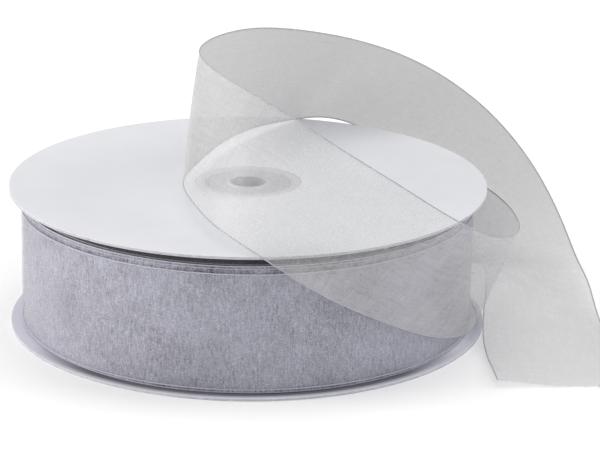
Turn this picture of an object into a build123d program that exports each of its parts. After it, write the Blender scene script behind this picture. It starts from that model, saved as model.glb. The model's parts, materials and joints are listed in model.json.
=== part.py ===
"""Ribbon spool: two paper-faced board flanges on a paper core, a wound roll of
38 mm sheer ribbon, and the loose free end of the ribbon looping over the top.

Frame: the origin is on the spindle axis at the underside of the bottom flange,
+Z up the axis.  The free end leaves the roll on the +X side, crosses the front
(-Y), folds over the top flange, drops behind the spool and comes forward along
the floor on the +X side.  Millimetres.
"""

from build123d import *
import os
from math import cos, sin, radians, pi

# ---------------------------------------------------------------- dimensions
FLANGE_D = 144.5          # flange diameter
PAPER_T = 0.10            # white liner paper
BOARD_T = 0.60            # grey chipboard
FLANGE_T = BOARD_T + 2 * PAPER_T
GAP = 41.65               # clear distance between the flanges
HEIGHT = GAP + 2 * FLANGE_T

RIBBON_W = 38.1           # 1 1/2 inch ribbon
RIBBON_Z0 = FLANGE_T + 0.25   # the roll sits low between the flanges
RIBBON_T = 0.30           # solid thickness that stands for the 0.13 mm cloth
ROLL_R = 68.05            # outside of the wound roll, under the last turn
TURN_R = 68.56            # middle of the last turn
TURN_START = 32.2         # degrees: where the last turn leaves the roll
TURN_SPAN = 268.0

CORE_R = 18.2             # outside of the paper core
CORE_WALL = 3.0
TAPE_T = 0.10
TAPE_ARC = 60.0           # degrees of core covered by the starter tape
TAPE_H = 24.0
ROLL_BORE_R = CORE_R + TAPE_T + 0.05

HUB_HOLE_R = 16.05        # hole through the flanges
COLLAR_R = 16.0
DISH_R = 13.3             # dished face between collar and bore
DISH_DEPTH = 0.5
BORE_R = 5.35             # spindle bore
BOSS_R = 6.4
PLUG_DEPTH = 8.75         # how far a plug reaches into the spool
WEB_T = 1.2
RIBS = 6
RIB_T = 1.0

# free end of the ribbon: control points of a cubic (along) by quadratic
# (across) spline sheet; each row is lower edge, middle, upper edge
TAIL = [
    ((58.17, 36.31, 1.43), (58.17, 36.33, 20.33), (58.13, 36.38, 39.29)),
    ((61.68, 30.76, 1.48), (61.68, 30.76, 20.38), (61.61, 30.79, 39.33)),
    ((68.39, 19.25, 1.44), (68.37, 19.30, 20.48), (67.85, 19.20, 39.56)),
    ((71.29, -0.61, 1.51), (74.10, 0.36, 20.48), (76.06, 0.98, 39.43)),
    ((68.52, -20.27, 3.24), (76.00, -19.48, 20.89), (79.81, -18.53, 39.53)),
    ((61.44, -38.34, 7.04), (71.51, -39.00, 23.14), (79.88, -38.38, 40.54)),
    ((50.34, -53.86, 13.22), (61.56, -55.46, 28.56), (73.24, -57.34, 43.47)),
    ((36.09, -64.03, 22.57), (48.49, -68.22, 36.67), (59.63, -70.25, 52.23)),
    ((22.48, -75.15, 31.58), (32.50, -74.13, 47.85), (42.25, -70.55, 63.99)),
    ((5.12, -76.41, 43.81), (15.55, -69.59, 58.27), (26.61, -60.11, 70.60)),
    ((-9.57, -61.61, 48.36), (-0.05, -58.51, 64.72), (10.47, -53.40, 79.96)),
    ((-14.67, -42.55, 48.24), (-11.12, -42.09, 67.07), (-4.69, -40.79, 85.04)),
    ((-20.54, -23.41, 49.11), (-18.15, -23.42, 67.98), (-14.26, -23.07, 86.74)),
    ((-17.13, -3.74, 48.35), (-17.32, -3.07, 67.47), (-15.60, -2.93, 86.38)),
    ((-12.15, 15.24, 47.74), (-10.03, 15.36, 66.68), (-7.84, 15.53, 85.66)),
    ((-6.61, 34.35, 47.15), (-1.78, 33.23, 65.69), (4.44, 31.38, 83.88)),
    ((2.88, 51.88, 46.18), (10.83, 48.32, 63.22), (19.87, 43.33, 79.31)),
    ((14.94, 67.46, 44.00), (24.63, 61.66, 59.47), (35.23, 54.77, 73.82)),
    ((27.40, 82.96, 41.35), (39.33, 74.12, 54.28), (51.10, 64.21, 66.20)),
    ((44.07, 92.30, 31.76), (55.39, 81.61, 44.13), (66.82, 70.94, 55.99)),
    ((57.03, 89.04, 16.99), (69.77, 82.28, 30.53), (81.71, 73.45, 42.97)),
    ((63.49, 74.28, 4.64), (79.79, 73.85, 15.23), (94.51, 70.76, 27.46)),
    ((66.27, 54.41, 0.49), (84.95, 56.99, 5.05), (102.74, 58.69, 12.71)),
    ((68.29, 34.73, 5.04), (86.81, 37.16, 4.00), (105.49, 39.96, 5.15)),
    ((71.40, 17.69, 15.34), (89.35, 18.54, 10.64), (107.15, 19.73, 5.65)),
    ((73.99, -3.40, 15.91), (90.33, -1.16, 7.45), (107.66, 0.28, 1.08)),
    ((70.04, -19.67, 3.15), (89.47, -19.58, 0.05), (108.95, -19.52, -0.26)),
    ((71.12, -40.23, 0.34), (90.19, -39.53, 1.12), (109.11, -39.01, 2.01)),
    ((71.80, -53.24, 2.63), (90.63, -52.58, 0.32), (109.60, -52.16, 1.17)),
    ((72.16, -59.85, 2.48), (90.84, -59.16, 0.44), (109.72, -58.74, 0.91)),
]
TAIL_STEPS = 4            # samples per span along the ribbon
TAIL_ACROSS = 5

os.makedirs("parts", exist_ok=True)


def save(builder, name):
    builder.part.label = name
    export_step(builder.part, f"parts/{name}.step")


# ------------------------------------------------------------------ flanges
def disc(z, t):
    with BuildPart() as p:
        with BuildSketch(Plane.XY.offset(z)):
            Circle(FLANGE_D / 2)
            Circle(HUB_HOLE_R, mode=Mode.SUBTRACT)
        extrude(amount=t)
    return p


bottom_flange_outer_facing = disc(0.0, PAPER_T)
save(bottom_flange_outer_facing, "bottom_flange_outer_facing")
bottom_flange_board = disc(PAPER_T, BOARD_T)
save(bottom_flange_board, "bottom_flange_board")
bottom_flange_inner_facing = disc(PAPER_T + BOARD_T, PAPER_T)
save(bottom_flange_inner_facing, "bottom_flange_inner_facing")

TOP0 = FLANGE_T + GAP
top_flange_inner_facing = disc(TOP0, PAPER_T)
save(top_flange_inner_facing, "top_flange_inner_facing")
top_flange_board = disc(TOP0 + PAPER_T, BOARD_T)
save(top_flange_board, "top_flange_board")
top_flange_outer_facing = disc(TOP0 + PAPER_T + BOARD_T, PAPER_T)
save(top_flange_outer_facing, "top_flange_outer_facing")

# --------------------------------------------------------------------- core
with BuildPart() as core_tube:
    with BuildSketch(Plane.XY.offset(FLANGE_T)):
        Circle(CORE_R)
        Circle(CORE_R - CORE_WALL, mode=Mode.SUBTRACT)
    extrude(amount=GAP)
save(core_tube, "core_tube")

# starter tape: a patch wrapped on the core under the first turn
with BuildPart() as starter_tape:
    with BuildSketch(Plane.XZ) as tape_profile:
        with Locations((CORE_R + TAPE_T / 2, HEIGHT / 2)):
            Rectangle(TAPE_T, TAPE_H)
    revolve(axis=Axis.Z, revolution_arc=TAPE_ARC)
save(starter_tape, "starter_tape")


# ---------------------------------------------------------------- hub plugs
def hub_plug(flip):
    """A moulded plug: flush collar, shallow dish, boss with the spindle bore,
    spigot that presses into the core, and ribs under the dish."""
    web0 = DISH_DEPTH + WEB_T
    spig_r = CORE_R - CORE_WALL
    with BuildPart() as plug:
        with BuildSketch(Plane.XZ):
            with BuildLine():
                Polyline(
                    (BORE_R, 0),
                    (BOSS_R - 0.25, 0),
                    (BOSS_R, DISH_DEPTH),
                    (DISH_R - 0.3, DISH_DEPTH),
                    (DISH_R, 0),
                    (COLLAR_R - 0.2, 0),
                    (COLLAR_R, 0.2),
                    (COLLAR_R, FLANGE_T),
                    (spig_r, FLANGE_T),
                    (spig_r, PLUG_DEPTH - 0.6),
                    (spig_r - 0.4, PLUG_DEPTH),
                    (spig_r - 1.4, PLUG_DEPTH),
                    (spig_r - 1.4, web0),
                    (BOSS_R + 0.6, web0),
                    (BOSS_R + 0.6, PLUG_DEPTH),
                    (BORE_R, PLUG_DEPTH),
                    close=True,
                )
            make_face()
        revolve(axis=Axis.Z)
        # stiffening ribs between boss and spigot
        mid = (BOSS_R + 0.6 + spig_r - 1.4) / 2
        length = (spig_r - 1.4) - (BOSS_R + 0.6) + 0.6
        with BuildSketch(Plane.XY.offset(web0 - 0.2)):
            with PolarLocations(mid, RIBS):
                Rectangle(length, RIB_T)
        extrude(amount=PLUG_DEPTH - web0 - 1.5)
        if flip:
            mirror(about=Plane.XY.offset(HEIGHT / 2), mode=Mode.REPLACE)
    return plug


bottom_hub_plug = hub_plug(False)
save(bottom_hub_plug, "bottom_hub_plug")
top_hub_plug = hub_plug(True)
save(top_hub_plug, "top_hub_plug")

# --------------------------------------------------------------- wound roll
with BuildPart() as ribbon_roll:
    with BuildSketch(Plane.XY.offset(RIBBON_Z0)):
        Circle(ROLL_R)
        Circle(ROLL_BORE_R, mode=Mode.SUBTRACT)
    extrude(amount=RIBBON_W)
save(ribbon_roll, "ribbon_roll")

# last turn, loose round the roll, up to where the free end leaves it
with BuildPart() as ribbon_outer_turn:
    with BuildSketch(Plane(
            origin=(0, 0, 0),
            x_dir=(cos(radians(TURN_START)), sin(radians(TURN_START)), 0),
            z_dir=(sin(radians(TURN_START)), -cos(radians(TURN_START)), 0))):
        with Locations((TURN_R, RIBBON_Z0 + RIBBON_W / 2)):
            Rectangle(RIBBON_T, RIBBON_W)
    revolve(axis=Axis.Z, revolution_arc=TURN_SPAN)
save(ribbon_outer_turn, "ribbon_outer_turn")


# ----------------------------------------------------------------- free end
def basis(u, n, deg=3):
    """Clamped uniform B-spline basis values at u for n control points."""
    spans = n - deg
    knots = [0.0] * deg + [float(i) for i in range(spans + 1)] + [float(spans)] * deg
    u = min(max(u, 0.0), spans - 1e-9)
    vals = [1.0 if knots[i] <= u < knots[i + 1] else 0.0 for i in range(len(knots) - 1)]
    for d in range(1, deg + 1):
        nxt = []
        for i in range(len(vals) - 1):
            a = knots[i + d] - knots[i]
            b = knots[i + d + 1] - knots[i + 1]
            left = (u - knots[i]) / a * vals[i] if a else 0.0
            right = (knots[i + d + 1] - u) / b * vals[i + 1] if b else 0.0
            nxt.append(left + right)
        vals = nxt
    return vals


def tail_point(u, v):
    """Point of the sheet: u along (control spans), v across from -1 to 1."""
    w = (v * (v - 1) / 2, 1 - v * v, v * (v + 1) / 2)
    b = basis(u, len(TAIL))
    out = [0.0, 0.0, 0.0]
    for bi, row in zip(b, TAIL):
        if bi:
            for wj, p in zip(w, row):
                for k in range(3):
                    out[k] += bi * wj * p[k]
    return tuple(out)


def tail_normal(u, v):
    e = 1e-3
    a, b = tail_point(min(u + e, spans), v), tail_point(max(u - e, 0.0), v)
    c, d = tail_point(u, v + e), tail_point(u, v - e)
    along = Vector(*a) - Vector(*b)
    across = Vector(*c) - Vector(*d)
    return along.cross(across).normalized()


def tail_grid(offset):
    rows = []
    for i in range(spans * TAIL_STEPS + 1):
        u = i / TAIL_STEPS
        row = []
        for j in range(TAIL_ACROSS):
            v = -1 + 2 * j / (TAIL_ACROSS - 1)
            row.append(Vector(*tail_point(u, v)) + tail_normal(u, v) * offset)
        rows.append(row)
    return rows


spans = len(TAIL) - 3
mid_face = Face.make_surface_from_array_of_points(tail_grid(0.0), tol=0.02, min_deg=3, max_deg=3)
skins = [
    Face.make_surface_from_array_of_points(tail_grid(s * RIBBON_T / 2), tol=0.005, min_deg=3, max_deg=3)
    for s in (-1, 1)
]


def near(edge, p):
    return (edge.position_at(0.5) - p).length


walls = []
for e in skins[0].edges():
    other = min(skins[1].edges(), key=lambda k: near(k, e.position_at(0.5)))
    walls.append(Face.make_surface_from_curves(e, other))

with BuildPart() as ribbon_tail:
    add(Solid(Shell([*skins, *walls])))
save(ribbon_tail, "ribbon_tail")

mid_line = [Vector(*tail_point(i / 8, 0.0)) for i in range(spans * 8 + 1)]
length = sum((b - a).length for a, b in zip(mid_line, mid_line[1:]))
print(f"free end: length {length:.1f} mm, area {mid_face.area:.0f} mm2, "
      f"volume {ribbon_tail.part.volume:.0f} mm3, "
      f"expected {mid_face.area * RIBBON_T:.0f} mm3")
# the layer thickness is chosen so that the roll holds about 100 yards
turns = (ROLL_R - ROLL_BORE_R) / 0.151
print(f"roll: {turns:.0f} turns, {pi * (ROLL_R**2 - ROLL_BORE_R**2) / 0.151 / 914.4:.1f} yd at 0.151 mm a layer")
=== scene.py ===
import bpy, json, math, random
import numpy as np
from mathutils import Matrix, Vector

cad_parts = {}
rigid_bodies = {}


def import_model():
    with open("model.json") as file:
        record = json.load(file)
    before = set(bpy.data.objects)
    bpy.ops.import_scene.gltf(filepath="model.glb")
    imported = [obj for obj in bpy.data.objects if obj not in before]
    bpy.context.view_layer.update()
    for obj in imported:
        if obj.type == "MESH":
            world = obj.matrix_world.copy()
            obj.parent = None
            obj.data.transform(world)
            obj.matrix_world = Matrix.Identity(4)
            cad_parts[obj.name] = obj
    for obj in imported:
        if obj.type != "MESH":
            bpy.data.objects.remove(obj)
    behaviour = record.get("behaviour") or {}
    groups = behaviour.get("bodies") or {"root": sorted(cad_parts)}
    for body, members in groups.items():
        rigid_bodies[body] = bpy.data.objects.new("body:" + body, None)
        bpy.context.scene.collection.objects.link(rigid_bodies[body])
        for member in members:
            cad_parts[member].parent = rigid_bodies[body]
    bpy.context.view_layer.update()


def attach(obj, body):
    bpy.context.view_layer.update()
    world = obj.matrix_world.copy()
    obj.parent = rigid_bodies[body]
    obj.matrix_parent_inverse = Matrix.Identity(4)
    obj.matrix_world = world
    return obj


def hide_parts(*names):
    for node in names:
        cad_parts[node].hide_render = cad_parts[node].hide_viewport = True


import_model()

MM = 0.001
rng = np.random.default_rng(7)
scene = bpy.context.scene
scene.view_settings.view_transform = "Standard"
scene.view_settings.look = "None"

# ------------------------------------------------------------------ sizes (mm)
R_FL = 72.25
Z_TOP = 43.25
T_FL = 0.8
PAPER = 0.1
R_HOLE = 16.05
R_ROLL = 68.10
Z_ROLL0, Z_ROLL1 = 1.05, 39.10
R_TURN = 68.56
W = 38.1

# free end of the ribbon, lower edge / middle / upper edge, millimetres:
# control points of a cubic (along) by quadratic (across) sheet
TAIL = [
    ((58.17, 36.31, 1.43), (58.17, 36.33, 20.33), (58.13, 36.38, 39.29)),
    ((61.68, 30.76, 1.48), (61.68, 30.76, 20.38), (61.61, 30.79, 39.33)),
    ((68.39, 19.25, 1.44), (68.37, 19.30, 20.48), (67.85, 19.20, 39.56)),
    ((71.29, -0.61, 1.51), (74.10, 0.36, 20.48), (76.06, 0.98, 39.43)),
    ((68.52, -20.27, 3.24), (76.00, -19.48, 20.89), (79.81, -18.53, 39.53)),
    ((61.44, -38.34, 7.04), (71.51, -39.00, 23.14), (79.88, -38.38, 40.54)),
    ((50.34, -53.86, 13.22), (61.56, -55.46, 28.56), (73.24, -57.34, 43.47)),
    ((36.09, -64.03, 22.57), (48.49, -68.22, 36.67), (59.63, -70.25, 52.23)),
    ((22.48, -75.15, 31.58), (32.50, -74.13, 47.85), (42.25, -70.55, 63.99)),
    ((5.12, -76.41, 43.81), (15.55, -69.59, 58.27), (26.61, -60.11, 70.60)),
    ((-9.57, -61.61, 48.36), (-0.05, -58.51, 64.72), (10.47, -53.40, 79.96)),
    ((-14.67, -42.55, 48.24), (-11.12, -42.09, 67.07), (-4.69, -40.79, 85.04)),
    ((-20.54, -23.41, 49.11), (-18.15, -23.42, 67.98), (-14.26, -23.07, 86.74)),
    ((-17.13, -3.74, 48.35), (-17.32, -3.07, 67.47), (-15.60, -2.93, 86.38)),
    ((-12.15, 15.24, 47.74), (-10.03, 15.36, 66.68), (-7.84, 15.53, 85.66)),
    ((-6.61, 34.35, 47.15), (-1.78, 33.23, 65.69), (4.44, 31.38, 83.88)),
    ((2.88, 51.88, 46.18), (10.83, 48.32, 63.22), (19.87, 43.33, 79.31)),
    ((14.94, 67.46, 44.00), (24.63, 61.66, 59.47), (35.23, 54.77, 73.82)),
    ((27.40, 82.96, 41.35), (39.33, 74.12, 54.28), (51.10, 64.21, 66.20)),
    ((44.07, 92.30, 31.76), (55.39, 81.61, 44.13), (66.82, 70.94, 55.99)),
    ((57.03, 89.04, 16.99), (69.77, 82.28, 30.53), (81.71, 73.45, 42.97)),
    ((63.49, 74.28, 4.64), (79.79, 73.85, 15.23), (94.51, 70.76, 27.46)),
    ((66.27, 54.41, 0.49), (84.95, 56.99, 5.05), (102.74, 58.69, 12.71)),
    ((68.29, 34.73, 5.04), (86.81, 37.16, 4.00), (105.49, 39.96, 5.15)),
    ((71.40, 17.69, 15.34), (89.35, 18.54, 10.64), (107.15, 19.73, 5.65)),
    ((73.99, -3.40, 15.91), (90.33, -1.16, 7.45), (107.66, 0.28, 1.08)),
    ((70.04, -19.67, 3.15), (89.47, -19.58, 0.05), (108.95, -19.52, -0.26)),
    ((71.12, -40.23, 0.34), (90.19, -39.53, 1.12), (109.11, -39.01, 2.01)),
    ((71.80, -53.24, 2.63), (90.63, -52.58, 0.32), (109.60, -52.16, 1.17)),
    ((72.16, -59.85, 2.48), (90.84, -59.16, 0.44), (109.72, -58.74, 0.91)),

]


# ------------------------------------------------------------- mesh helpers
def smoothstep(a, b, x):
    t = np.clip((np.asarray(x, float) - a) / (b - a), 0, 1)
    return t * t * (3 - 2 * t)


def fractal(x, y, seed, octaves=3):
    """Small smooth pseudo-noise from summed sines, about -1 to 1."""
    r = np.random.default_rng(seed)
    x = np.asarray(x, float); y = np.asarray(y, float)
    out = 0.0
    for o in range(octaves):
        for _ in range(4):
            a = r.uniform(0, 2 * math.pi); f = 2.0 ** o * r.uniform(0.7, 1.3); p = r.uniform(0, 2 * math.pi)
            out = out + np.sin(f * (x * math.cos(a) + y * math.sin(a)) + p) * 0.5 ** o / 4
    return out


def make_obj(name, verts, faces, smooth=True, cloth=None):
    me = bpy.data.meshes.new(name)
    me.from_pydata([tuple(v) for v in verts], [], faces)
    me.update()
    if smooth:
        me.shade_smooth() if hasattr(me, "shade_smooth") else [setattr(p, "use_smooth", True) for p in me.polygons]
    if cloth is not None:
        at = me.attributes.new("cloth", "FLOAT_VECTOR", "POINT")
        at.data.foreach_set("vector", np.asarray(cloth, float).ravel())
    ob = bpy.data.objects.new(name, me)
    scene.collection.objects.link(ob)
    return ob


def grid_obj(name, P, cloth, smooth=True):
    nu, nv = P.shape[:2]
    faces = []
    for i in range(nu - 1):
        for j in range(nv - 1):
            a = i * nv + j
            faces.append((a, a + 1, a + nv + 1, a + nv))
    cl = np.concatenate([cloth, np.zeros(cloth.shape[:2] + (1,))], -1) if cloth.shape[-1] == 2 else cloth
    return make_obj(name, (P * MM).reshape(-1, 3), faces, smooth, cl.reshape(-1, 3))


def revolve(name, profile, seg=360, rmod=None, zmod=None, cloth=True):
    """A closed profile of (r, z) turned about the Z axis, millimetres."""
    n = len(profile)
    th = np.arange(seg) * 2 * math.pi / seg
    pr = np.array(profile, float)
    r = np.repeat(pr[None, :, 0], seg, 0)
    z = np.repeat(pr[None, :, 1], seg, 0)
    if rmod is not None:
        r = rmod(th[:, None], r, z)
    if zmod is not None:
        z = zmod(th[:, None], r, z)
    P = np.stack([r * np.cos(th)[:, None], r * np.sin(th)[:, None], z], -1)
    faces = []
    for i in range(seg):
        k = (i + 1) % seg
        for j in range(n):
            m = (j + 1) % n
            faces.append((i * n + j, k * n + j, k * n + m, i * n + m))
    cl = np.stack([th[:, None] * r * MM, z * MM, r * MM], -1)
    ob = make_obj(name, (P * MM).reshape(-1, 3), faces, True, cl.reshape(-1, 3))
    return ob


def tube(name, path, radius, sides=8, taper=None):
    """A thread along a path, closed at both ends, millimetres."""
    path = np.asarray(path, float)
    n = len(path)
    tan = np.gradient(path, axis=0)
    tan /= np.linalg.norm(tan, axis=1, keepdims=True) + 1e-12
    ref = np.array([0.0, 0.0, 1.0]) if abs(tan[0, 2]) < 0.9 else np.array([1.0, 0.0, 0.0])
    nrm = np.cross(tan[0], ref); nrm /= np.linalg.norm(nrm)
    verts, cl = [], []
    s = np.r_[0, np.cumsum(np.linalg.norm(np.diff(path, axis=0), axis=1))]
    for i in range(n):
        nrm = nrm - tan[i] * (nrm @ tan[i]); nrm /= np.linalg.norm(nrm)
        bi = np.cross(tan[i], nrm)
        rad = radius if taper is None else radius * taper[i]
        for k in range(sides):
            a = 2 * math.pi * k / sides
            verts.append((path[i] + (nrm * math.cos(a) + bi * math.sin(a)) * rad) * MM)
            cl.append((s[i] * MM, k * radius * MM, 0))
    faces = []
    for i in range(n - 1):
        for k in range(sides):
            m = (k + 1) % sides
            faces.append((i * sides + k, i * sides + m, (i + 1) * sides + m, (i + 1) * sides + k))
    faces.append(tuple(reversed(range(sides))))
    faces.append(tuple((n - 1) * sides + k for k in range(sides)))
    return make_obj(name, verts, faces, True, cl)


def join(name, obs):
    verts, faces, cl = [], [], []
    for o in obs:
        b = len(verts)
        verts += [tuple(v.co) for v in o.data.vertices]
        faces += [tuple(b + i for i in p.vertices) for p in o.data.polygons]
        a = o.data.attributes.get("cloth")
        if a:
            buf = np.zeros(len(o.data.vertices) * 3); a.data.foreach_get("vector", buf)
            cl += list(buf.reshape(-1, 3))
        else:
            cl += [(0, 0, 0)] * len(o.data.vertices)
        me = o.data
        bpy.data.objects.remove(o); bpy.data.meshes.remove(me)
    return make_obj(name, verts, faces, True, cl)


# ---------------------------------------------------------------- materials
class Mat:
    def __init__(self, name):
        self.m = bpy.data.materials.new(name)
        self.m.use_nodes = True
        self.t = self.m.node_tree
        self.t.nodes.clear()
        self.out = self.t.nodes.new("ShaderNodeOutputMaterial")

    def node(self, kind, props=None, **ins):
        n = self.t.nodes.new("ShaderNode" + kind)
        for k, v in (props or {}).items():
            setattr(n, k, v)
        for k, v in ins.items():
            key = int(k[1:]) if k[0] == "i" and k[1:].isdigit() else k.replace("_", " ")
            self.put(n, key, v)
        return n

    def put(self, n, key, v):
        s = n.inputs[key]
        if isinstance(v, bpy.types.NodeSocket):
            self.t.links.new(v, s)
        else:
            s.default_value = v

    def math(self, op, a, b=0.0, c=0.0, clamp=False):
        n = self.node("Math", {"operation": op, "use_clamp": clamp}, i0=a, i1=b, i2=c)
        return n.outputs[0]

    def mix(self, f, a, b):
        n = self.node("Mix", {"data_type": "RGBA"})
        self.put(n, 0, f)
        self.put(n, 6, a); self.put(n, 7, b)
        return n.outputs[2]

    def ramp(self, fac, stops, interp="LINEAR"):
        n = self.node("ValToRGB")
        cr = n.color_ramp; cr.interpolation = interp
        while len(cr.elements) < len(stops):
            cr.elements.new(0.5)
        for e, (p, c) in zip(cr.elements, stops):
            e.position = p; e.color = c
        self.put(n, "Fac", fac)
        return n.outputs[0]

    def noise(self, vec, scale, detail=2.0, rough=0.5, dist=0.0):
        n = self.node("TexNoise", None, Vector=vec, Scale=scale, Detail=detail, Roughness=rough, Distortion=dist)
        return n.outputs["Fac"]

    def scaled(self, vec, s):
        n = self.node("VectorMath", {"operation": "MULTIPLY"}, i0=vec, i1=s)
        return n.outputs[0]

    def principled(self, **k):
        n = self.node("BsdfPrincipled")
        for key, v in k.items():
            self.put(n, key.replace("_", " "), v)
        self.t.links.new(n.outputs[0], self.out.inputs[0])
        return n

    def bump(self, height, strength, dist):
        n = self.node("Bump", None, Height=height, Strength=strength, Distance=dist)
        return n.outputs[0]

    def obj(self):
        return self.node("TexCoord").outputs["Object"]

    def cloth(self):
        return self.node("Attribute", {"attribute_name": "cloth"}).outputs["Vector"]


def grey(v, b=None, a=1.0):
    b = v if b is None else b
    return (v, v, b, a)


def paper_mat(name, base, edge=None):
    m = Mat(name)
    o = m.obj()
    fib = m.noise(m.scaled(o, (1.0, 2.6, 1.0)), 900.0, 4.0, 0.62)
    cloud = m.noise(o, 55.0, 3.0, 0.5)
    f = m.math("MULTIPLY_ADD", fib, 0.55, m.math("MULTIPLY", cloud, 0.45))
    lo = tuple(c * 0.955 for c in base[:3]) + (1,)
    hi = tuple(min(c * 1.03, 1.0) for c in base[:3]) + (1,)
    col = m.ramp(f, [(0.32, lo), (0.68, hi)])
    if edge:
        # painted shade: the inner paper turns dark along the front, close to the roll, standing in for the shadow that
        # the roll and the top flange cast on the rim
        sep = m.node("SeparateXYZ", None, i0=o)
        painted_front_mask = m.math("MULTIPLY", m.math("SUBTRACT", -0.030, sep.outputs[1]), 45.0, clamp=True)
        rr = m.math("SQRT", m.math("ADD", m.math("MULTIPLY", sep.outputs[0], sep.outputs[0]), m.math("MULTIPLY", sep.outputs[1], sep.outputs[1])))
        painted_near_roll_mask = m.math("MULTIPLY", m.math("SUBTRACT", 0.0717, rr), 480.0, clamp=True)
        col = m.mix(m.math("MULTIPLY", m.math("MULTIPLY", painted_front_mask, painted_near_roll_mask), 0.88), col, (0.10, 0.10, 0.12, 1))
    bmp = m.bump(fib, 0.18, 0.00006)
    m.principled(Base_Color=col, Roughness=0.82, Normal=bmp, Specular_IOR_Level=0.25)
    return m.m


def board_mat(name):
    m = Mat(name)
    o = m.obj()
    ply = m.noise(m.scaled(o, (1.0, 1.0, 16.0)), 420.0, 3.0, 0.6)
    fib = m.noise(o, 1500.0, 3.0, 0.65)
    f = m.math("MULTIPLY_ADD", ply, 0.6, m.math("MULTIPLY", fib, 0.4))
    col = m.ramp(f, [(0.30, (0.30, 0.295, 0.31, 1)), (0.50, (0.50, 0.495, 0.52, 1)), (0.72, (0.70, 0.695, 0.72, 1))])
    m.principled(Base_Color=col, Roughness=0.92, Normal=m.bump(f, 0.6, 0.0001), Specular_IOR_Level=0.2)
    return m.m


def core_mat(name):
    m = Mat(name)
    o = m.obj()
    sep = m.node("SeparateXYZ", None, i0=o)
    ang = m.math("ARCTAN2", sep.outputs[1], sep.outputs[0])
    # helical seam: one strip 25 mm wide wound at a slant
    h = m.math("FRACT", m.math("ADD", m.math("MULTIPLY", sep.outputs[2], 40.0), m.math("MULTIPLY", ang, 0.15915)))
    seam = m.ramp(h, [(0.0, (0.16, 0.13, 0.10, 1)), (0.02, (0.40, 0.34, 0.28, 1)), (0.5, (0.46, 0.39, 0.32, 1)), (0.985, (0.42, 0.36, 0.29, 1)), (1.0, (0.16, 0.13, 0.10, 1))])
    fib = m.noise(o, 1100.0, 4.0, 0.6)
    col = m.mix(m.math("MULTIPLY", fib, 0.35), seam, (0.30, 0.25, 0.20, 1))
    m.principled(Base_Color=col, Roughness=0.88, Normal=m.bump(fib, 0.4, 0.0001), Specular_IOR_Level=0.2)
    return m.m


def tape_mat(name):
    m = Mat(name)
    o = m.obj()
    f = m.noise(o, 260.0, 2.0, 0.5)
    col = m.ramp(f, [(0.3, (0.62, 0.58, 0.44, 1)), (0.7, (0.74, 0.70, 0.56, 1))])
    m.principled(Base_Color=col, Roughness=0.25, Normal=m.bump(f, 0.1, 0.00005), Coat_Weight=0.3)
    return m.m


def hub_mat(name):
    m = Mat(name)
    o = m.obj()
    sep = m.node("SeparateXYZ", None, i0=o)
    rr = m.math("SQRT", m.math("ADD", m.math("MULTIPLY", sep.outputs[0], sep.outputs[0]), m.math("MULTIPLY", sep.outputs[1], sep.outputs[1])))
    rad = m.math("MULTIPLY", rr, 50.0)          # 20 mm is 1
    ring = m.ramp(rad, [(0.0, (0.16, 0.16, 0.175, 1)), (0.26, (0.40, 0.40, 0.43, 1)), (0.32, (0.56, 0.56, 0.60, 1)), (0.345, (0.47, 0.47, 0.50, 1)), (0.64, (0.49, 0.49, 0.525, 1)), (0.668, (0.61, 0.61, 0.645, 1)), (0.80, (0.64, 0.64, 0.675, 1))])
    sp = m.noise(o, 700.0, 3.0, 0.6)
    turn = m.noise(m.node("CombineXYZ", None, i0=m.math("MULTIPLY", rad, 6.0), i1=m.math("MULTIPLY", sep.outputs[2], 200.0)).outputs[0], 9.0, 3.0, 0.6)
    col = m.mix(m.math("MULTIPLY", turn, 0.16), ring, (0.68, 0.68, 0.71, 1))
    col = m.mix(m.math("MULTIPLY", sp, 0.10), col, (0.30, 0.30, 0.32, 1))
    m.principled(Base_Color=col, Roughness=0.52, Normal=m.bump(sp, 0.12, 0.00005), Specular_IOR_Level=0.4)
    return m.m


def weave(m, c, pitch_mm=0.26):
    """Plain weave from the cloth's own coordinates: 0 in the holes, 1 on a thread."""
    sep = m.node("SeparateXYZ", None, i0=c)
    k = math.pi / (pitch_mm * MM)
    su = m.math("ABSOLUTE", m.math("SINE", m.math("MULTIPLY", sep.outputs[0], k)))
    sv = m.math("ABSOLUTE", m.math("SINE", m.math("MULTIPLY", sep.outputs[1], k)))
    wu = m.math("POWER", su, 3.0)
    wv = m.math("POWER", sv, 3.0)
    return m.math("MAXIMUM", wu, wv), sep


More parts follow.
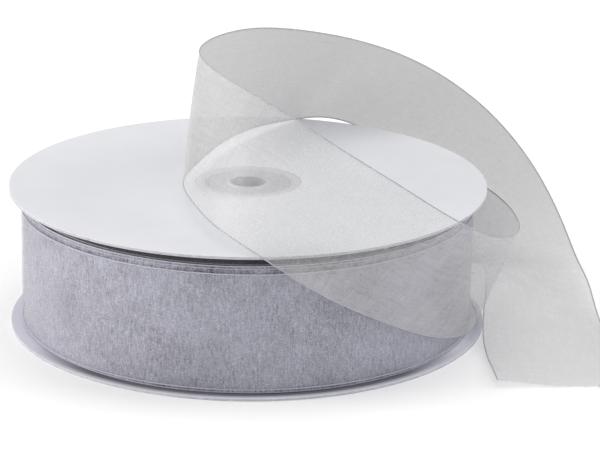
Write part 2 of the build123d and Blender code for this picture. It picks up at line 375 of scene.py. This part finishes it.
def wound_mat(name):
    """Many layers of sheer cloth on each other: moire streaks that stand
    upright, soft cloudy patches and a fine sparkle."""
    m = Mat(name)
    c = m.cloth()
    w, sep = weave(m, c)
    streak = m.noise(m.scaled(c, (1.0, 0.19, 0.0)), 1900.0, 2.0, 0.6, 0.5)
    streak2 = m.noise(m.scaled(c, (1.0, 0.30, 0.0)), 620.0, 2.0, 0.5, 0.8)
    cloud = m.noise(m.scaled(c, (1.0, 1.6, 0.0)), 70.0, 3.0, 0.6, 0.6)
    wide = m.noise(m.scaled(c, (1.0, 1.4, 0.0)), 22.0, 1.0, 0.5, 0.3)
    spark = m.noise(c, 2300.0, 1.0, 0.7)
    half = -0.5
    f = m.math("MULTIPLY", m.math("ADD", streak, half), 2.3)
    f = m.math("ADD", f, m.math("MULTIPLY", m.math("ADD", streak2, half), 0.6))
    f = m.math("ADD", f, m.math("MULTIPLY", m.math("ADD", cloud, half), 0.95))
    f = m.math("ADD", f, m.math("MULTIPLY", m.math("ADD", wide, half), 0.9))
    f = m.math("ADD", f, m.math("MULTIPLY", m.math("ADD", spark, half), 2.4))
    # the part of the layers above the outer turn lies in its own shade
    up = m.math("SUBTRACT", m.math("MULTIPLY", sep.outputs[1], 1000.0), 36.2)
    shade = m.math("SUBTRACT", 1.0, m.math("MULTIPLY", m.math("MINIMUM", m.math("MAXIMUM", up, 0.0), 1.0), 0.32))
    g = m.math("MULTIPLY", m.math("MAXIMUM", m.math("ADD", f, 1.0), 0.15), shade)
    n = m.node("VectorMath", {"operation": "SCALE"}, i0=(0.350, 0.350, 0.412))
    m.put(n, 3, g)
    bmp = m.bump(m.math("ADD", streak, m.math("MULTIPLY", spark, 0.6)), 0.28, 0.00012)
    m.principled(Base_Color=n.outputs[0], Roughness=0.5, Normal=bmp, Specular_IOR_Level=0.4, Sheen_Weight=1.0, Sheen_Roughness=0.35)
    return m.m


def sheer_mat(name, base, alpha, spread=0.10, along=None, weave_amp=0.16, glint=0.36):
    """Organza: a fine plain weave that is mostly air. alpha is one number, or
    with along a list of (distance along the ribbon in mm, alpha, painted light and shade factor that brightens or
    darkens the colour)."""
    m = Mat(name)
    c = m.cloth()
    w, sep = weave(m, c)
    streak = m.noise(m.scaled(c, (0.12, 1.0, 0.0)), 800.0, 3.0, 0.6, 0.3)
    cross = m.noise(m.scaled(c, (1.0, 0.12, 0.0)), 700.0, 3.0, 0.6, 0.3)
    cloud = m.noise(c, 60.0, 3.0, 0.55, 0.5)
    spark = m.noise(c, 2400.0, 2.0, 0.7)
    f = m.math("ADD", m.math("MULTIPLY", streak, 0.26), m.math("MULTIPLY", cross, 0.26))
    f = m.math("ADD", f, m.math("MULTIPLY", cloud, 0.25))
    f = m.math("ADD", f, m.math("MULTIPLY", spark, 0.23))
    d = m.math("SUBTRACT", f, 0.5)
    shade = 1.0
    if along:
        pos = m.math("DIVIDE", sep.outputs[0], 0.545)
        alpha = m.ramp(pos, [(s / 545.0, grey(a)) for s, a, _ in along])
        # painted light and shade: the colour is brightened or darkened along the ribbon by the third number of each
        # stop
        shade = m.ramp(pos, [(s / 545.0, grey(k)) for s, _, k in along])
    al = m.math("ADD", alpha, m.math("MULTIPLY", d, spread * 4.0))
    al = m.math("ADD", al, m.math("MULTIPLY", m.math("SUBTRACT", spark, 0.5), glint))
    al = m.math("ADD", al, m.math("MULTIPLY", m.math("SUBTRACT", w, 0.45), weave_amp), clamp=True)
    lo = tuple(x * 0.84 for x in base[:3]) + (1,)
    hi = tuple(min(1, x * 1.14) for x in base[:3]) + (1,)
    col = m.ramp(f, [(0.35, lo), (0.65, hi)])
    if along:
        n = m.node("VectorMath", {"operation": "MULTIPLY"}, i0=col, i1=shade)
        col = n.outputs[0]
    bmp = m.bump(m.math("ADD", m.math("MULTIPLY", w, 0.5), spark), 0.30, 0.0001)
    m.principled(Base_Color=col, Roughness=0.48, Normal=bmp, Specular_IOR_Level=0.35, Sheen_Weight=0.15, Sheen_Roughness=0.4, Alpha=al)
    return m.m


def thread_mat(name, base, rough=0.4):
    m = Mat(name)
    c = m.cloth()
    sep = m.node("SeparateXYZ", None, i0=c)
    tw = m.math("SINE", m.math("MULTIPLY", m.math("ADD", sep.outputs[0], m.math("MULTIPLY", sep.outputs[1], 1.6)), 9000.0))
    n = m.noise(c, 900.0, 2.0, 0.5)
    f = m.math("ADD", m.math("MULTIPLY", tw, 0.12), n)
    lo = tuple(x * 0.8 for x in base[:3]) + (1,)
    hi = tuple(min(1, x * 1.15) for x in base[:3]) + (1,)
    col = m.ramp(f, [(0.3, lo), (0.7, hi)])
    m.principled(Base_Color=col, Roughness=rough, Normal=m.bump(tw, 0.3, 0.00005), Specular_IOR_Level=0.5)
    return m.m


M_PAPER = paper_mat("liner_paper_white", (0.745, 0.752, 0.785))
# True switches on the painted shade along the front of the inner paper
M_PAPER_IN = paper_mat("liner_paper_inner", (0.74, 0.74, 0.82), True)
M_BOARD = board_mat("grey_chipboard")
M_CORE = core_mat("spiral_core_paper")
M_TAPE = tape_mat("clear_tape")
M_HUB = hub_mat("hub_plastic_satin")
M_WOUND = wound_mat("organza_wound_layers")
# the third number of each stop is painted light and shade on the free end's colour
M_SHEER = sheer_mat("organza_sheer_single", (0.60, 0.60, 0.61), 0.5, 0.10, [(0, 0.27, 1.2), (60, 0.30, 1.14), (120, 0.32, 1.04), (210, 0.36, 0.96), (236, 0.74, 0.80), (310, 0.74, 0.76), (420, 0.64, 0.82), (455, 0.50, 0.93), (500, 0.45, 0.97), (540, 0.42, 1.0)])
M_TURN = sheer_mat("organza_outer_turn", (0.44, 0.44, 0.50), 0.36, 0.06)
M_THREAD = thread_mat("selvedge_thread", (0.42, 0.42, 0.46))
M_THREAD_IN = thread_mat("selvedge_thread_roll", (0.50, 0.50, 0.58))


def dress(ob, mat):
    ob.data.materials.clear()
    ob.data.materials.append(mat)
    return ob


# ------------------------------------------------------------------ flanges
NICK = math.radians(231.0)


def edge_noise(seed, amp):
    def f(th):
        return amp * (fractal(np.cos(th) * 40, np.sin(th) * 40, seed, 4))
    return f


def flange_piece(name, node, z0, z1, mat, shrink, rough, nick=0.0, seed=1, lip=0.03):
    """One layer of a flange: a disc with a hub hole, a softened cut edge and
    a slightly uneven outline."""
    R = R_FL - shrink
    h = z1 - z0
    lp = min(lip, h * 0.3)
    rings = [R_HOLE + 0.05, 22, 30, 38, 46, 54, 62, 68, 70.5, R - 0.35]
    prof = [(R_HOLE, z0 + lp)] + [(r, z0) for r in rings] + [(R - lp, z0), (R, z0 + lp), (R + 0.0, (z0 + z1) / 2), (R, z1 - lp), (R - lp, z1)]
    prof += [(r, z1) for r in reversed(rings)] + [(R_HOLE, z1 - lp)]
    en = edge_noise(seed, rough)

    def rmod(th, r, z):
        t = smoothstep(R - 1.2, R, r)
        g = np.exp(-((th - NICK) / 0.0085) ** 2) + 0.45 * np.exp(-((th - NICK - 0.02) / 0.006) ** 2)
        return r + t * (en(th) - nick * g)
    ob = revolve(name, prof, 480, rmod)
    dress(ob, mat)
    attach(ob, "reel")
    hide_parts(node)
    return ob


def warp_free(a):
    return a


z = 0.0
flange_piece("bottom_face_paper", "bottom_flange_outer_facing", 0.0, PAPER, M_PAPER, 0.0, 0.012, 0, 11)
flange_piece("bottom_board", "bottom_flange_board", PAPER, T_FL - PAPER, M_BOARD, 0.06, 0.03, 0, 12, 0.06)
flange_piece("bottom_inner_paper", "bottom_flange_inner_facing", T_FL - PAPER, T_FL, M_PAPER_IN, 0.0, 0.012, 0, 13)
ZT = Z_TOP - T_FL
flange_piece("top_inner_paper", "top_flange_inner_facing", ZT, ZT + PAPER, M_PAPER_IN, 0.0, 0.012, 0.25, 14)
flange_piece("top_board", "top_flange_board", ZT + PAPER, Z_TOP - PAPER, M_BOARD, 0.06, 0.03, 0.35, 15, 0.06)
flange_piece("top_face_paper", "top_flange_outer_facing", Z_TOP - PAPER, Z_TOP, M_PAPER, 0.0, 0.012, 0.40, 16)


# ---------------------------------------------------------------- hub plugs
def rounded(points, rad, n=3):
    """Rounds each corner of a closed (r, z) outline by a small arc."""
    out = []
    m = len(points)
    for i in range(m):
        p0, p1, p2 = (np.array(points[(i + k) % m], float) for k in (-1, 0, 1))
        a, b = p0 - p1, p2 - p1
        la, lb = np.linalg.norm(a), np.linalg.norm(b)
        d = min(rad, la * 0.4, lb * 0.4)
        s, e = p1 + a / la * d, p1 + b / lb * d
        for k in range(n + 1):
            t = k / n
            out.append(tuple((1 - t) ** 2 * s + 2 * t * (1 - t) * p1 + t * t * e))
    return out


def hub_plug(name, node, flip):
    BORE, BOSS, DISH, COL, SP, DEP = 5.35, 6.4, 13.3, 16.0, 15.2, 8.75
    web0 = 1.7
    pts = [(BORE, 0), (BOSS - 0.25, 0), (BOSS, 0.5), (DISH - 0.3, 0.5), (DISH, 0), (COL - 0.2, 0), (COL, 0.2), (COL, T_FL), (SP, T_FL),
           (SP, DEP - 0.6), (SP - 0.4, DEP), (SP - 1.4, DEP), (SP - 1.4, web0), (BOSS + 0.6, web0), (BOSS + 0.6, DEP), (BORE, DEP)]
    prof = rounded(pts, 0.14, 3)
    if flip:
        prof = [(r, Z_TOP - zz) for r, zz in prof]
        prof = prof[::-1]
    body = revolve(name + "_body", prof[::-1], 192)
    ribs = []
    for i in range(6):
        a = i * math.pi / 3
        r0, r1, t, za, zb = BOSS + 0.35, SP - 1.15, 0.5, web0 - 0.15, DEP - 1.7
        if flip:
            za, zb = Z_TOP - zb, Z_TOP - za
        ca, sa = math.cos(a), math.sin(a)
        vs = []
        for zz in (za, zb):
            for r, y in ((r0, -t), (r1, -t), (r1, t), (r0, t)):
                vs.append(((r * ca - y * sa) * MM, (r * sa + y * ca) * MM, zz * MM))
        fs = [(0, 3, 2, 1), (4, 5, 6, 7), (0, 1, 5, 4), (1, 2, 6, 5), (2, 3, 7, 6), (3, 0, 4, 7)]
        ribs.append(make_obj(f"{name}_rib{i}", vs, fs, False, [(0, 0, 0)] * 8))
    ob = join(name, [body] + ribs)
    dress(ob, M_HUB)
    md = ob.modifiers.new("edges", "EDGE_SPLIT"); md.split_angle = math.radians(50)
    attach(ob, "reel")
    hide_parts(node)
    return ob


hub_plug("bottom_plug", "bottom_hub_plug", False)
hub_plug("top_plug", "top_hub_plug", True)

for node, m in (("core_tube", M_CORE), ("starter_tape", M_TAPE)):
    ob = bpy.data.objects.get(node) or [o for o in scene.objects if o.name.startswith(node)][0]
    for s in ob.material_slots:
        s.material = m


# --------------------------------------------------------------- wound roll
def roll_profile():
    prof = []
    r = np.random.default_rng(21)
    rin = 18.4
    radii = list(np.arange(R_ROLL - 0.12, 60.0, -0.30)) + list(np.arange(59.5, 19.0, -1.5))
    top = []
    for k, rr in enumerate(radii):
        dz = (0.0 if k == 0 else r.uniform(0.0, 0.42) if rr > 60 else r.uniform(0, 0.15))
        top.append((rr, Z_ROLL1 - 0.10 - dz))
        if rr > 60:
            top.append((rr - 0.16, Z_ROLL1 - 0.10 - dz - 0.22))
    bot = []
    for k, rr in enumerate(radii):
        dz = (0.0 if k == 0 else r.uniform(0.0, 0.10) if rr > 60 else r.uniform(0, 0.05))
        bot.append((rr, Z_ROLL0 + 0.05 + dz))
        if rr > 60:
            bot.append((rr - 0.16, Z_ROLL0 + 0.05 + dz + 0.12))
    side = [(R_ROLL, zz) for zz in np.linspace(Z_ROLL0 + 0.15, Z_ROLL1 - 0.2, 22)]
    prof = side + top + [(rin, Z_ROLL1 - 0.3), (rin, Z_ROLL0 + 0.2)] + bot[::-1]
    return prof


def roll_r(th, r, z):
    t = smoothstep(R_ROLL - 3.0, R_ROLL, r)
    ripple = 0.035 * fractal(th * 34, z * 0.22, 5, 3) + 0.018 * fractal(th * 130, z * 0.10, 6, 2)
    return r + t * (ripple - 0.03)


def roll_z(th, r, z):
    t = smoothstep(Z_ROLL1 - 2.0, Z_ROLL1, z) * smoothstep(58.0, 60.5, r)
    return z + t * 0.10 * fractal(np.cos(th) * 3.0 + r * 0.9, np.sin(th) * 3.0, 9, 2)


roll = revolve("wound_ribbon", roll_profile(), 420, roll_r, roll_z)
dress(roll, M_WOUND)
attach(roll, "reel")
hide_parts("ribbon_roll")

th = np.linspace(0, 2 * math.pi, 361)
for nm, rr, zz, rad, sd in (("roll_top_selvedge", R_ROLL - 0.02, Z_ROLL1 - 0.02, 0.17, 31), ("roll_top_selvedge_2", R_ROLL + 0.02, Z_ROLL1 - 0.85, 0.10, 32), ("roll_top_selvedge_3", R_ROLL - 1.1, Z_ROLL1 + 0.1, 0.13, 33), ("roll_bottom_selvedge", R_ROLL - 0.02, Z_ROLL0 + 0.02, 0.15, 34)):
    zz_ = zz + 0.10 * fractal(np.cos(th) * 3, np.sin(th) * 3, sd, 3)
    rr_ = rr + 0.03 * fractal(np.cos(th) * 6, np.sin(th) * 6, sd + 50, 2)
    t = tube(nm, np.stack([rr_ * np.cos(th), rr_ * np.sin(th), zz_], -1), rad, 7)
    dress(t, M_THREAD_IN)
    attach(t, "reel")


# --------------------------------------------------------------- outer turn
def spl(vals, deg=3, per=8):
    """Clamped uniform cubic B-spline through control rows."""
    vals = np.asarray(vals, float)
    n = len(vals); spans = n - deg
    kn = np.r_[[0.0] * deg, np.arange(spans + 1.0), [float(spans)] * deg]
    u = np.linspace(0, spans, spans * per + 1); u[-1] -= 1e-9
    B = np.zeros((len(u), len(kn) - 1))
    for i in range(len(kn) - 1):
        B[:, i] = (kn[i] <= u) & (u < kn[i + 1])
    for d in range(1, deg + 1):
        N = np.zeros((len(u), len(kn) - 1 - d))
        for i in range(N.shape[1]):
            a, b = kn[i + d] - kn[i], kn[i + d + 1] - kn[i + 1]
            if a: N[:, i] += (u - kn[i]) / a * B[:, i]
            if b: N[:, i] += (kn[i + d + 1] - u) / b * B[:, i + 1]
        B = N
    return np.tensordot(B, vals, 1)


T = spl(TAIL)                                     # rows along x 3 x xyz
v = np.linspace(-1, 1, 17)
V = np.stack([v * (v - 1) / 2, 1 - v * v, v * (v + 1) / 2], -1)
TP = np.einsum("vk,ukc->uvc", V, T)
mid = TP[:, 8]
s_mid = np.r_[0, np.cumsum(np.linalg.norm(np.diff(mid, axis=0), axis=1))]
# shallow ripples in the cloth, none at the edges that touch other things
du = np.gradient(TP, axis=0); dv = np.gradient(TP, axis=1)
nr = np.cross(du, dv); nr /= np.linalg.norm(nr, axis=-1, keepdims=True)
rip = 0.16 * fractal(s_mid[:, None] / 7.0, (v * W / 2)[None, :] / 9.0, 77, 2)
fade = smoothstep(15, 60, s_mid)[:, None] * smoothstep(0.9, 2.2, TP[..., 2])
TP = TP + nr * (rip * fade)[..., None]
TP[..., 2] = np.maximum(TP[..., 2], 0.14)

a0, a1 = math.radians(32.2), math.radians(402.0)
th = np.linspace(a0, a1, 460)
deg_ = np.degrees(th)
rad = R_TURN - 0.30 * smoothstep(300, 340, deg_)
low = smoothstep(60, 165, deg_)
z_lo = 1.22 + (0.85) * low + 0.10 * fractal(np.cos(th) * 3, np.sin(th) * 3, 41, 2) * low
z_hi = 39.20 - 2.45 * low + 0.12 * fractal(np.cos(th) * 3, np.sin(th) * 3, 42, 2) * low
z_lo = np.maximum(z_lo, 1.12)
nv = 13
q = np.linspace(0, 1, nv)
zz = z_lo[:, None] + (z_hi - z_lo)[:, None] * q[None, :]
bulge = 0.05 * np.sin(math.pi * q)[None, :] * low[:, None]
rr = rad[:, None] + bulge + 0.03 * fractal(deg_[:, None] / 6.0, q[None, :] * 2, 43, 2) * low[:, None]
P = np.stack([rr * np.cos(th)[:, None], rr * np.sin(th)[:, None], zz], -1)
arc = R_TURN * (th - a0)
cl = np.stack([np.repeat(-arc[:, None], nv, 1) * MM, np.repeat((q * W - W / 2)[None, :], len(th), 0) * MM], -1)
turn = grid_obj("outer_turn_cloth", P[:, ::-1], cl[:, ::-1])
dress(turn, M_TURN)
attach(turn, "ribbon_end")
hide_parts("ribbon_outer_turn")
e1 = tube("outer_turn_upper_selvedge", P[:, -1] + np.stack([np.cos(th) * 0.02, np.sin(th) * 0.02, 0 * th], -1), 0.19, 8)
e2 = tube("outer_turn_lower_selvedge", P[:, 0] + np.stack([np.cos(th) * 0.02, np.sin(th) * 0.02, 0 * th], -1), 0.17, 8)
for e in (e1, e2):
    dress(e, M_THREAD_IN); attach(e, "ribbon_end")

# ----------------------------------------------------------------- free end
cl = np.stack([np.repeat(s_mid[:, None], len(v), 1) * MM, np.repeat((v * W / 2)[None, :], len(s_mid), 0) * MM], -1)
tail = grid_obj("free_end_cloth", TP, cl)
dress(tail, M_SHEER)
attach(tail, "ribbon_end")
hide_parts("ribbon_tail")
for nm, j in (("free_end_lower_selvedge", 0), ("free_end_upper_selvedge", -1)):
    pth = TP[:, j].copy()
    pth[:, 2] = np.maximum(pth[:, 2], 0.17)
    thin = 1.0 - 0.7 * smoothstep(395, 415, s_mid) * (1 - smoothstep(462, 482, s_mid)) * (j == 0)
    e = tube(nm, pth, 0.19, 8, thin)
    dress(e, M_THREAD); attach(e, "ribbon_end")
# loose threads at the cut end
bits = []
r = np.random.default_rng(5)
end, prev = TP[-1], TP[-4]
out_dir = end - prev
out_dir /= np.linalg.norm(out_dir, axis=-1, keepdims=True)
for k in range(26):
    j = r.uniform(0.02, 0.98) * (len(v) - 1)
    i = int(j); f = j - i
    p = end[i] * (1 - f) + end[min(i + 1, len(v) - 1)] * f
    d = out_dir[i]
    L = r.uniform(0.3, 1.5)
    side = np.array([r.uniform(-0.35, 0.35), 0, r.uniform(-0.05, 0.25)])
    pts = [p - d * 0.4, p, p + (d + side * 0.5) * L * 0.5, p + (d + side) * L]
    pts = np.array(pts); pts[:, 2] = np.maximum(pts[:, 2], 0.08)
    bits.append(tube(f"bit{k}", pts, 0.035, 5))
bits = join("cut_end_threads", bits)
dress(bits, M_THREAD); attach(bits, "ribbon_end")

# ------------------------------------------------------------ floor and light
fl = make_obj("floor", [(-3, -3, -0.00005), (3, -3, -0.00005), (3, 3, -0.00005), (-3, 3, -0.00005)], [(0, 1, 2, 3)], False)
m = Mat("floor_white")
n1 = m.noise(m.obj(), 3.0, 2.0, 0.5)
colf = m.ramp(n1, [(0.3, (0.93, 0.93, 0.93, 1)), (0.7, (0.95, 0.95, 0.95, 1))])
m.principled(Base_Color=colf, Roughness=0.9, Specular_IOR_Level=0.0, Emission_Color=(1, 1, 1, 1), Emission_Strength=0.11)
dress(fl, m.m)

world = bpy.data.worlds.new("soft_white")
scene.world = world
world.use_nodes = True
world.node_tree.nodes["Background"].inputs[0].default_value = (1.0, 1.0, 1.0, 1)
world.node_tree.nodes["Background"].inputs[1].default_value = 0.44


def area(name, loc, target, size, power, color=(1, 1, 1), size_y=None):
    L = bpy.data.lights.new(name, "AREA")
    L.shape = "RECTANGLE" if size_y else "SQUARE"
    L.size = size
    if size_y:
        L.size_y = size_y
    L.energy = power
    L.color = color
    o = bpy.data.objects.new(name, L)
    scene.collection.objects.link(o)
    o.location = loc
    o.rotation_euler = (Vector(target) - Vector(loc)).to_track_quat("-Z", "Y").to_euler()
    return o


area("key_top", (0.05, 0.42, 1.5), (0, 0, 0.02), 1.15, 8.0)
area("front_fill", (0.22, -1.6, 0.75), (0, 0, 0.02), 1.2, 6.8)
area("left_rim", (-1.4, -0.05, 0.30), (-0.06, 0, 0.02), 0.7, 16.0, (1.0, 0.98, 0.94))
area("right_fill", (1.3, 0.1, 0.9), (0.03, 0, 0.02), 0.9, 7.0)

# -------------------------------------------------------------------- camera
K = 1.0704
pitch, yaw, roll_ = math.radians(17.8766), math.radians(1.08774), math.radians(0.76484)
Xa = Vector((math.cos(yaw), -math.sin(yaw), 0)); Yh = Vector((math.sin(yaw), math.cos(yaw), 0)); Zw = Vector((0, 0, 1))
F = Yh * math.cos(pitch) - Zw * math.sin(pitch)
Up = Yh * math.sin(pitch) + Zw * math.cos(pitch)
Ri = Xa * math.cos(roll_) + Up * math.sin(roll_)
Ui = -Xa * math.sin(roll_) + Up * math.cos(roll_)
cam = bpy.data.cameras.new("camera")
cam.sensor_width = 36.0
cam.lens = 2881.79 / 600 * 36.0
cam.clip_start = 0.05; cam.clip_end = 20.0
co = bpy.data.objects.new("camera", cam)
scene.collection.objects.link(co)
M = Matrix(((Ri.x, Ui.x, -F.x), (Ri.y, Ui.y, -F.y), (Ri.z, Ui.z, -F.z))).to_4x4()
M.translation = Vector((0, -0.780 * K, 0.2791575 * K))
co.matrix_world = M
scene.camera = co

bpy.context.view_layer.update()
